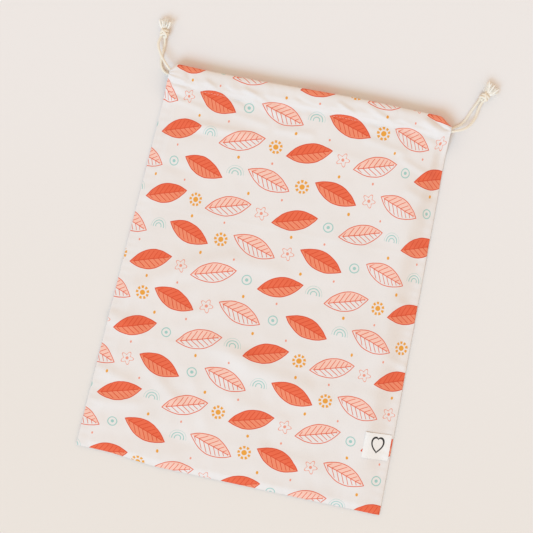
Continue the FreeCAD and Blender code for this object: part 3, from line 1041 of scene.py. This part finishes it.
def stitch_row(name, line, normals, side):
    """Stitches along a line of points on the cloth."""
    lengths = distances(line)
    pitch = STITCH_LENGTH + STITCH_GAP
    parts = []
    for number in range(int(lengths[-1] / pitch)):
        place = (number + 0.5) * pitch
        here = points_at(place, lengths, line)
        up = points_at(place, lengths, normals)
        up /= np.linalg.norm(up)
        along = points_at(place + 0.3, lengths, line) - here
        along -= up * along.dot(up)
        along /= np.linalg.norm(along)
        parts.append(stitch(here + up * CLOTH / 2, along, up))
    vertices, faces = join_parts(parts)
    piece = make_object(name, vertices, faces, [THREAD])
    drawn_in(piece, side)


def row_at(rows, y):
    """Number of the cloth's outer row nearest to y."""
    return min((abs(place - y), number) for number, (place, hem) in enumerate(rows) if not hem)[1]


def make_stitching():
    """The row of stitches that closes the front casing."""
    row = row_at(front_rows, STITCH_LINE + 1.2)
    halves = {"left": slice(2, COLUMNS + 1), "right": slice(COLUMNS, 2 * COLUMNS - 1)}
    for side, columns in halves.items():
        stitch_row("casing_stitches_" + side, front_points[row, columns],
                   front_normals[row, columns], side)


make_seams()
make_stitching()

# ---- cords
# Where each tail leaves its corner, and its route from there to the knot.  Inside the casings a
# cord lies at the y of its exit and crosses over in the middle to the y under "far".
PULLS = {
    "left": {
        "side": -1,
        "front": [(-137.5, 182.3, FRONT_CORD_Z), (-143.4, 187.0, 10.2), (-149.8, 194.4, 9.2),
                  (-154.2, 201.4, 7.9), (-156.0, 207.8, 6.7), (-153.8, 214.1, 5.4)],
        "back": [(-137.4, 178.9, BACK_CORD_Z), (-143.6, 179.7, 2.1), (-149.0, 185.6, 1.8),
                 (-150.4, 194.2, 1.6), (-149.4, 202.6, 1.6), (-149.7, 208.8, 2.6),
                 (-151.0, 213.7, 4.4)],
        "far": (185.6, 178.9),
        "knot": (-152.0, 217.4),
        "tassel_turn": 99.0,
        "fan_out": 1.0,
    },
    "right": {
        "side": 1,
        "front": [(139.0, 182.4, FRONT_CORD_Z), (147.4, 184.9, 10.0), (154.4, 190.2, 7.9),
                  (159.0, 197.6, 5.2), (160.7, 205.0, 3.1), (161.1, 211.6, 2.6),
                  (163.5, 218.7, 4.4)],
        "back": [(138.8, 185.8, BACK_CORD_Z), (145.6, 189.6, 2.0), (150.4, 195.4, 1.8),
                 (153.4, 203.0, 1.6), (156.9, 211.8, 2.4), (161.0, 220.8, 4.4)],
        "far": (179.1, 182.1),
        "knot": (164.5, 222.6),
        "tassel_turn": 60.0,
        "fan_out": 1.2,
    },
}
KNOT_HEIGHT = 4.8  # of the knot's middle over the table
PLIES, FIBRES = 15, 110  # in each tassel
BEND_INSET = 4.0  # the far bend lies this far inside the exit
RUN_OUTER, RUN_INNER = 120.0, 32.0  # x of a run's points; it crosses over between the inner


def make_run(name, pull, body):
    """The cord inside the casings, from its own exits to its bend in the far corner."""
    side = pull["side"]
    outer, inner = side * RUN_OUTER, side * RUN_INNER
    legs = []
    for layer, far_y, z in zip(("front", "back"), pull["far"], (FRONT_CORD_Z, BACK_CORD_Z)):
        near_y = pull[layer][0][1]
        legs.append([pull[layer][0], (outer, near_y, z), (inner, near_y, z), (-inner, far_y, z),
                     (-outer, far_y, z), (-side * (EXIT_X - BEND_INSET), far_y, z)])
    line = legs[0] + legs[1][::-1]
    vertices, faces = twisted_cord(spline_line(line), CORD_DIAMETER / 2, around=12)
    run = make_object(name + "_cord_in_casing", vertices, faces, [CORD])
    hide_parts(name + "_cord_run")
    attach(run, body)


def local_place(centre, turn):
    """A function that turns (along the tassel, across, up) from centre into x, y, z."""
    heading = np.array([math.cos(turn), math.sin(turn), 0])
    across = np.array([-math.sin(turn), math.cos(turn), 0])
    up = np.array([0, 0, 1.0])

    def place(points):
        points = np.asarray(points, float)
        return centre + points[..., :1] * heading + points[..., 1:2] * across + points[..., 2:] * up

    return place


def make_knot(name, centre, turn, dice):
    """An overhand knot: two turns of cord round the pair of strands, and one crossing over."""
    place = local_place(centre, turn)
    parts = []
    wind = np.linspace(-0.2 * math.pi, 3.55 * math.pi, 60)
    share = np.linspace(0, 1, 60)
    helix = np.stack([-3.1 + 5.4 * share + 0.7 * np.sin(wind), 3.15 * np.cos(wind),
                      3.05 * np.sin(wind)], axis=1)
    parts.append(twisted_cord(place(helix), 1.38, around=14))
    lean = dice.uniform(-0.3, 0.3)
    over = [(-4.4, -1.2, -1.0), (-3.4, -2.6, 2.0), (-0.6, -0.9 + lean, 4.0), (2.0, 1.5, 3.4),
            (3.9, 2.4, 0.6), (4.6, 1.0, -0.8)]
    parts.append(twisted_cord(spline_line(place(np.array(over))), 1.2, around=14))
    for shift in (-1.15, 1.15):
        core = [(-4.6, shift, -0.4), (-1.5, -shift * 0.7, 0.3), (1.5, shift * 0.7, -0.2),
                (4.9, shift, 0.2)]
        parts.append(twisted_cord(spline_line(place(np.array(core))), 1.25, around=12))
    vertices, faces = join_parts(parts)
    vertices[:, 2] = np.maximum(vertices[:, 2], 0.05)
    knot = make_object(name + "_overhand_knot", vertices, faces, [CORD])
    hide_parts(name + "_knot")
    return knot


def make_tassel(name, centre, turn, fan_out, dice):
    """The frayed ends: loose plies that fan out, with fine fibres between and beyond them."""
    place = local_place(centre, turn)
    taper = [1.0, 1.05, 1.0, 0.95, 0.85, 0.7, 0.45]
    parts = []

    def wisp(spread, rise, length, curl, thickness, sides):
        start = dice.uniform(2.6, 3.6)
        root_y, root_z = spread * 0.26, rise * 0.30
        points = []
        for step in np.linspace(0, 1, len(taper)):
            fan = step ** 0.85
            y = root_y + (spread - root_y) * fan + curl * math.sin(step * 5.2 + spread)
            z = root_z + (rise - root_z) * fan + 0.6 * curl * math.sin(step * 4.3 + rise)
            points.append((start + step * (length - abs(spread) * 0.22 * fan), y, z))
        line = place(np.array(points))
        line[:, 2] = np.maximum(line[:, 2], 0.12 + thickness)
        return tube_mesh(line, lambda number, angles: thickness * taper[number]
                         * np.ones_like(angles), sides)

    for number in range(PLIES):
        spread = (number % 5 - 2) * 2.7 * fan_out + dice.gauss(0, 0.6)
        rise = (number // 5 - 1) * 1.7 + dice.gauss(0, 0.3)
        parts.append(wisp(spread, rise, dice.uniform(8.0, 10.8) * fan_out, dice.gauss(0, 0.45),
                          dice.uniform(0.8, 1.05), 10))
    for _ in range(FIBRES):
        parts.append(wisp(dice.gauss(0, 4.0) * fan_out, dice.gauss(0.8, 1.7),
                          dice.uniform(8.5, 13.0), dice.gauss(0, 0.9),
                          dice.uniform(0.08, 0.16), 4))
    vertices, faces = join_parts(parts)
    tassel = make_object(name + "_frayed_ends", vertices, faces, [FIBRE])
    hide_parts(name + "_tassel")
    return tassel


def make_pull(name, pull):
    """One side's cord: the run in the casings, two tails, their knot and the frayed ends."""
    side, body = pull["side"], name + "_draw"
    dice = random.Random(SEED + side)
    make_run(name, pull, body)
    centre = np.array([*pull["knot"], KNOT_HEIGHT])
    turn = math.radians(pull["tassel_turn"])
    knot = make_knot(name, centre, turn, dice)
    tassel = make_tassel(name, centre, turn, pull["fan_out"], dice)
    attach(knot, body)
    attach(tassel, body)
    for layer in ("front", "back"):
        line = spline_line(pull[layer])
        vertices, faces = twisted_cord(line, CORD_DIAMETER / 2)
        tail = make_object("%s_%s_cord_tail" % (name, layer), vertices, faces, [CORD])
        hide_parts("%s_%s_tail" % (name, layer))
        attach(tail, body)
        length = distances(line)[-1]


for name, pull in PULLS.items():
    make_pull(name, pull)

# ---- side label
TAPE_THICKNESS = 0.24
TAPE_LENGTH = 26.6  # folded, from the seam's edge to the fold
TAPE_BEND = (0.13, 0.135)  # reach of the fold, and half its height
MARK_PLACE = 0.76  # of the way along the tape, where the heart is


def front_top(x, y):
    """Height of the front cloth's upper side at places on the panel."""
    row_ys = front_points[:, COLUMNS, 1]
    panel = front_points[:row_at(front_rows, STITCH_LINE)]
    tops = []
    for place_x, place_y in zip(x, y):
        row = panel[int(np.argmin(np.abs(row_ys[:len(panel)] - place_y)))]
        tops.append(np.interp(place_x, row[:, 0], row[:, 2]))
    return np.array(tops) + CLOTH / 2


def make_label():
    """A tape folded in half, its two ends caught in the side seam."""
    low_y, high_y = LABEL_LOW.y + 0.5, LABEL_HIGH.y - 0.5
    tilt = math.atan((BOTTOM_HALF - EXIT_X) / (MOUTH - BOTTOM))
    reach, rise = TAPE_BEND
    along = np.linspace(0, TAPE_LENGTH, 20)
    lower = [(place, 0.0) for place in along]
    bend = [(TAPE_LENGTH + reach * math.sin(angle), rise - rise * math.cos(angle))
            for angle in np.linspace(0, math.pi, 7)[1:-1]]
    upper = [(place, 2 * rise) for place in along[::-1]]
    across = np.linspace(0, high_y - low_y, 20)
    middle = len(across) // 2
    points, flat = [], []
    travelled = 0.0
    previous = None
    for place, raised in lower + bend + upper:
        ys = low_y + across
        xs = half_width(ys) - 1.6 - place
        lowered = ys - math.sin(tilt) * place
        zs = front_top(LYING_WIDTH * xs, lowered) + TAPE_THICKNESS / 2 + LEAST_GAP + raised
        zs += 0.5 * smooth((place - 14.0) / 13.0) * smooth((across - 10.0) / 14.0)
        row = lay(xs, lowered, zs)
        points.append(row)
        if previous is not None:
            travelled += np.linalg.norm(row[middle] - previous[middle])
        previous = row
        flat.append(np.stack([np.full_like(ys, travelled), across - across[-1] / 2], axis=1))
    points, flat = np.array(points), np.array(flat)
    flat[:, :, 0] -= travelled * MARK_PLACE
    normals = grid_normals(points)
    if normals[-5, 5, 2] < 0:
        points, normals, flat = points[:, ::-1], -normals[:, ::-1], flat[:, ::-1]
    label = cloth_object("side_label_tape", points, normals, flat, TAPE_THICKNESS, [TAPE, TAPE])
    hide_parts("side_label")
    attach(label, "label")


make_label()


# ---- floor, light and camera
def make_floor():
    """The table, a tenth of a millimetre under the cloth."""
    half = 2000.0
    corners = [(-half, -half, 0), (half, -half, 0), (half, half, 0), (-half, half, 0)]
    floor = make_object("floor", corners, [(0, 1, 2, 3)], [floor_paper()], False)
    floor.location.z = -0.1 * MM


WARM_SURROUND = (0.86, 0.72, 0.585, 1)  # light from all around, in linear values


def make_light():
    """A broad soft light from the bottom left of the picture, and an even surround."""
    world = bpy.data.worlds.new("studio")
    bpy.context.scene.world = world
    world.use_nodes = True
    Term.tree = world.node_tree
    seen_directly = Term(new_node("LightPath").outputs["Is Camera Ray"])
    colour = mixed(WARM_SURROUND, linear("F1E9E3"), seen_directly)
    feed(world.node_tree.nodes["Background"].inputs["Color"], colour)
    lamp = bpy.data.lights.new("window", "SUN")
    lamp.color = (0.33, 0.67, 1.0)
    lamp.energy = 1.84
    lamp.angle = math.radians(30)
    window = added("window", lamp)
    elevation = math.radians(45)
    shadow = Vector((0.34, 0.94, 0)).normalized() * math.cos(elevation)
    window.rotation_mode = "QUATERNION"
    window.rotation_quaternion = Vector((shadow.x, shadow.y, -math.sin(elevation))).to_track_quat(
        "-Z", "Y")


def make_camera():
    """Straight above, turned so that the pouch leans to the right as it lies in view."""
    data = bpy.data.cameras.new("overhead")
    data.lens = 85
    data.sensor_width = 36
    camera = added("overhead", data)
    width = 0.516  # metres of cloth and table across the picture
    centre = (-0.0072, 0.0173)  # of the picture
    cloth_top = 0.006  # about where the front lies
    lean = math.radians(12.3)
    right = Vector((math.cos(lean), math.sin(lean), 0))
    up = Vector((-math.sin(lean), math.cos(lean), 0))
    distance = width / 2 / (data.sensor_width / 2 / data.lens)
    camera.matrix_world = Matrix.Translation((*centre, distance + cloth_top)) @ Matrix(
        (right, up, Vector((0, 0, 1)))).transposed().to_4x4()
    bpy.context.scene.camera = camera


make_floor()
make_light()
make_camera()
bpy.context.scene.view_settings.view_transform = "Standard"

bpy.context.view_layer.update()
